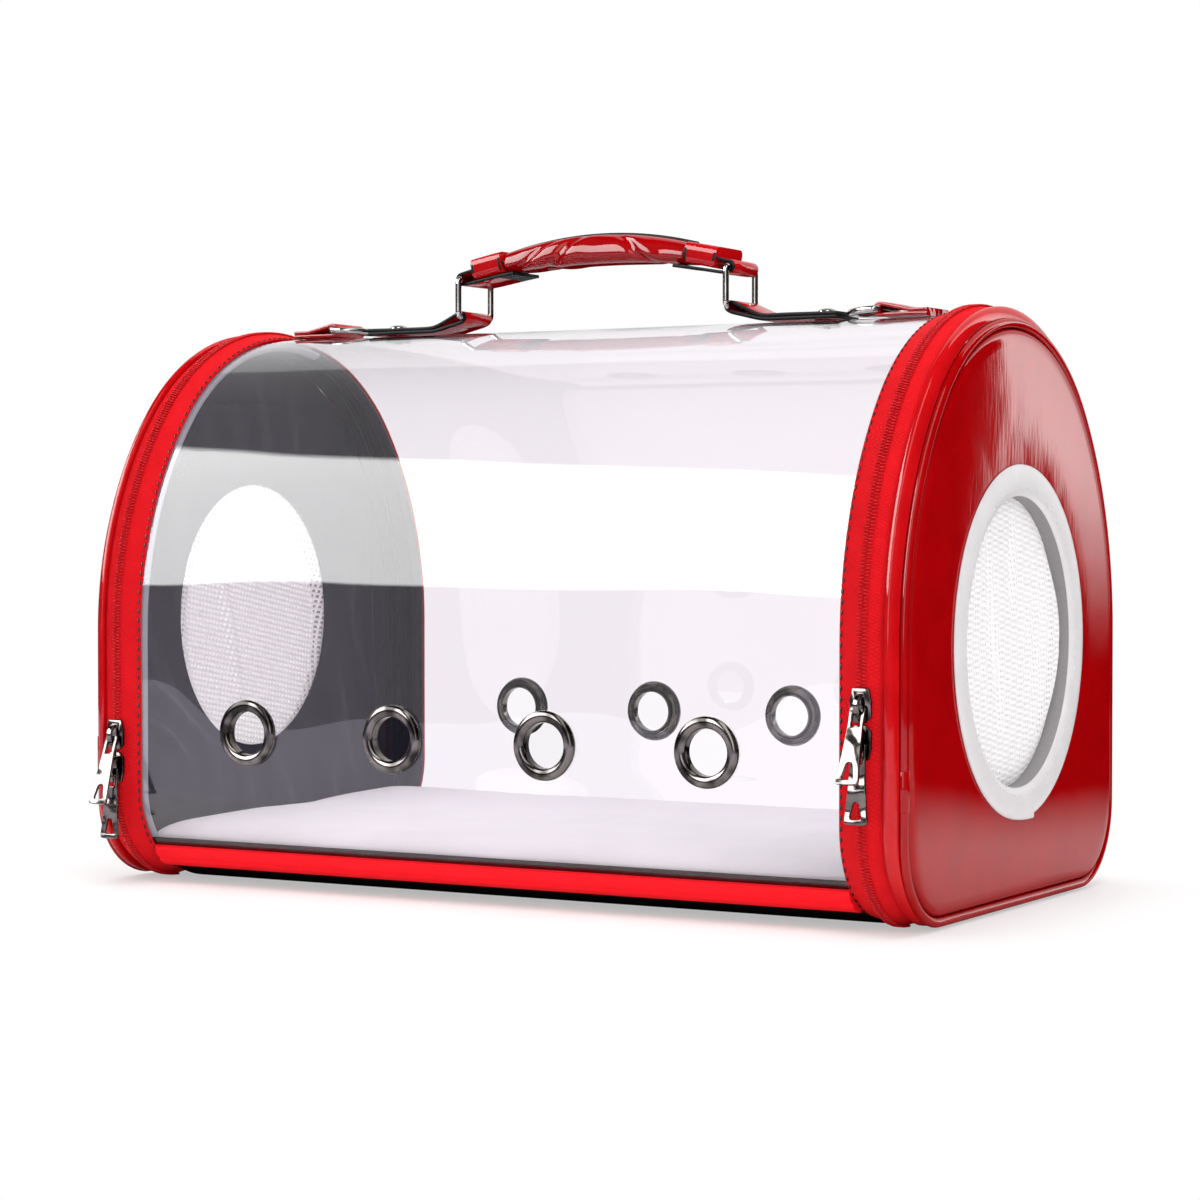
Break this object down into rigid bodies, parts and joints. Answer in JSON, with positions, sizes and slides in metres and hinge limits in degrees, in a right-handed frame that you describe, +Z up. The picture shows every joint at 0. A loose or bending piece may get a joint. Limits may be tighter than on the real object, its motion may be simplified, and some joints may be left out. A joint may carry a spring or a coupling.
{
  "type": "pet carrier",
  "caption": "Arched clear-sided pet carrier with zip-down padded end panels, net windows, a floor mat and a padded top handle on wire rings.",
  "frame": {"origin": "middle of the flat underside, on the floor", "axes": "+X along the body to the right end panel, +Y to the rear wall, +Z up"},
  "size_m": [0.4212, 0.2629, 0.304],
  "materials": {
    "clear_sheet": "clear soft vinyl sheet",
    "red_patent": "glossy patent with a fine crinkle",
    "red_tape": "woven tape",
    "zip_coil": "nylon coil",
    "black_cloth": "coated cloth",
    "grey_lining": "plain lining cloth",
    "mat_cloth": "short pile",
    "board": "polyethylene sheet",
    "foam": "open foam",
    "gunmetal": "black nickel plate",
    "spring_steel": "bright wire",
    "white_trim": "soft vinyl edging",
    "white_net": "knitted net"
  },
  "bodies": {
    "carrier": {"clear_canopy": "clear_sheet", "base_cover": "black_cloth", "base_bands": "red_tape", "base_lining": "grey_lining", "base_board": "board", "edge_bindings": "red_tape", "hoop_wires": "spring_steel", "hoop_sleeves": "grey_lining", "eyelets": "gunmetal", "eyelet_washers": "gunmetal", "tab_rivets": "gunmetal", "rivet_washers": "gunmetal", "right_body_tape": "red_tape", "right_body_coil": "zip_coil", "right_sill": "grey_lining", "right_handle_tab": "red_patent", "right_d_ring_tab": "red_patent", "left_body_tape": "red_tape", "left_body_coil": "zip_coil", "left_sill": "grey_lining", "left_handle_tab": "red_patent", "left_d_ring_tab": "red_patent"},
    "mat": {"floor_mat": "mat_cloth"},
    "right_door": {"right_rim_piping": "red_patent", "right_door_tape": "red_tape", "right_door_coil": "zip_coil", "right_door_gusset": "red_patent", "right_face_lining": "grey_lining", "right_face_board": "board", "right_face_foam": "foam", "right_face_skin": "red_patent", "right_window_trim": "white_trim", "right_window_mesh": "white_net"},
    "left_door": {"left_rim_piping": "red_patent", "left_door_tape": "red_tape", "left_door_coil": "zip_coil", "left_door_gusset": "red_patent", "left_face_lining": "grey_lining", "left_face_board": "board", "left_face_foam": "foam", "left_face_skin": "red_patent", "left_window_trim": "white_trim", "left_window_mesh": "white_net"},
    "left_ring": {"left_handle_ring": "gunmetal"},
    "right_ring": {"right_handle_ring": "gunmetal"},
    "handle": {"handle_strap": "red_patent", "handle_core": "foam", "handle_grip": "red_patent", "handle_collars": "red_patent"},
    "right_strap_ring": {"right_d_ring": "gunmetal"},
    "right_upper_zip": {"right_upper_slider": "gunmetal"},
    "right_upper_zip_pull": {"right_upper_pull": "gunmetal"},
    "right_lower_zip": {"right_lower_slider": "gunmetal"},
    "right_lower_zip_pull": {"right_lower_pull": "gunmetal"},
    "left_strap_ring": {"left_d_ring": "gunmetal"},
    "left_upper_zip": {"left_upper_slider": "gunmetal"},
    "left_upper_zip_pull": {"left_upper_pull": "gunmetal"},
    "left_lower_zip": {"left_lower_slider": "gunmetal"},
    "left_lower_zip_pull": {"left_lower_pull": "gunmetal"}
  },
  "joints": [
    {"name": "right_door_fold", "type": "hinge", "parent": "carrier", "child": "right_door", "pos_m": [0.2065, 0, 0.0032], "axis": [0, 1, 0], "range_deg": [0, 85]},
    {"name": "left_door_fold", "type": "hinge", "parent": "carrier", "child": "left_door", "pos_m": [-0.2065, 0, 0.0032], "axis": [0, -1, 0], "range_deg": [0, 85]},
    {"name": "right_upper_zip_slide", "type": "slide", "parent": "carrier", "child": "right_upper_zip", "axis": [0, 0, 1], "range_m": [0, 0.024]},
    {"name": "right_upper_pull_swing", "type": "hinge", "parent": "right_upper_zip", "child": "right_upper_zip_pull", "pos_m": [0.1916, -0.12735, 0.094], "axis": [-1, 0, 0], "range_deg": [0, 130]},
    {"name": "right_lower_zip_slide", "type": "slide", "parent": "carrier", "child": "right_lower_zip", "axis": [0, 0, 1], "range_m": [-0.03, 0]},
    {"name": "right_lower_pull_swing", "type": "hinge", "parent": "right_lower_zip", "child": "right_lower_zip_pull", "pos_m": [0.1916, -0.12735, 0.079], "axis": [-1, 0, 0], "range_deg": [0, 20]},
    {"name": "left_upper_zip_slide", "type": "slide", "parent": "carrier", "child": "left_upper_zip", "axis": [0, 0, 1], "range_m": [0, 0.048]},
    {"name": "left_upper_pull_swing", "type": "hinge", "parent": "left_upper_zip", "child": "left_upper_zip_pull", "pos_m": [-0.1916, -0.12735, 0.069], "axis": [-1, 0, 0], "range_deg": [0, 130]},
    {"name": "left_lower_zip_slide", "type": "slide", "parent": "carrier", "child": "left_lower_zip", "axis": [0, 0, 1], "range_m": [-0.006, 0]},
    {"name": "left_lower_pull_swing", "type": "hinge", "parent": "left_lower_zip", "child": "left_lower_zip_pull", "pos_m": [-0.1916, -0.12735, 0.054], "axis": [-1, 0, 0], "range_deg": [0, 20]},
    {"name": "left_ring_swing", "type": "hinge", "parent": "carrier", "child": "left_ring", "pos_m": [-0.072, 0, 0.26765], "axis": [0, 1, 0], "range_deg": [-60, 60]},
    {"name": "handle_pivot", "type": "hinge", "parent": "left_ring", "child": "handle", "pos_m": [-0.072, 0, 0.28565], "axis": [0, 1, 0], "range_deg": [-60, 60]},
    {"name": "right_ring_swing", "type": "hinge", "parent": "carrier", "child": "right_ring", "pos_m": [0.072, 0, 0.26765], "axis": [0, 1, 0], "range_deg": [-60, 60]},
    {"name": "right_strap_ring_flip", "type": "hinge", "parent": "carrier", "child": "right_strap_ring", "pos_m": [0.147, 0, 0.26365], "axis": [0, 1, 0], "range_deg": [0, 160]},
    {"name": "left_strap_ring_flip", "type": "hinge", "parent": "carrier", "child": "left_strap_ring", "pos_m": [-0.147, 0, 0.26365], "axis": [0, -1, 0], "range_deg": [0, 160]},
    {"name": "mat_lift", "type": "slide", "parent": "carrier", "child": "mat", "axis": [0, 0, 1], "range_m": [0, 0.08]}
  ],
  "couplings": [
    {"joint": "handle_pivot", "follows": "left_ring_swing", "ratio": -1},
    {"joint": "right_ring_swing", "follows": "left_ring_swing", "ratio": 1}
  ]
}
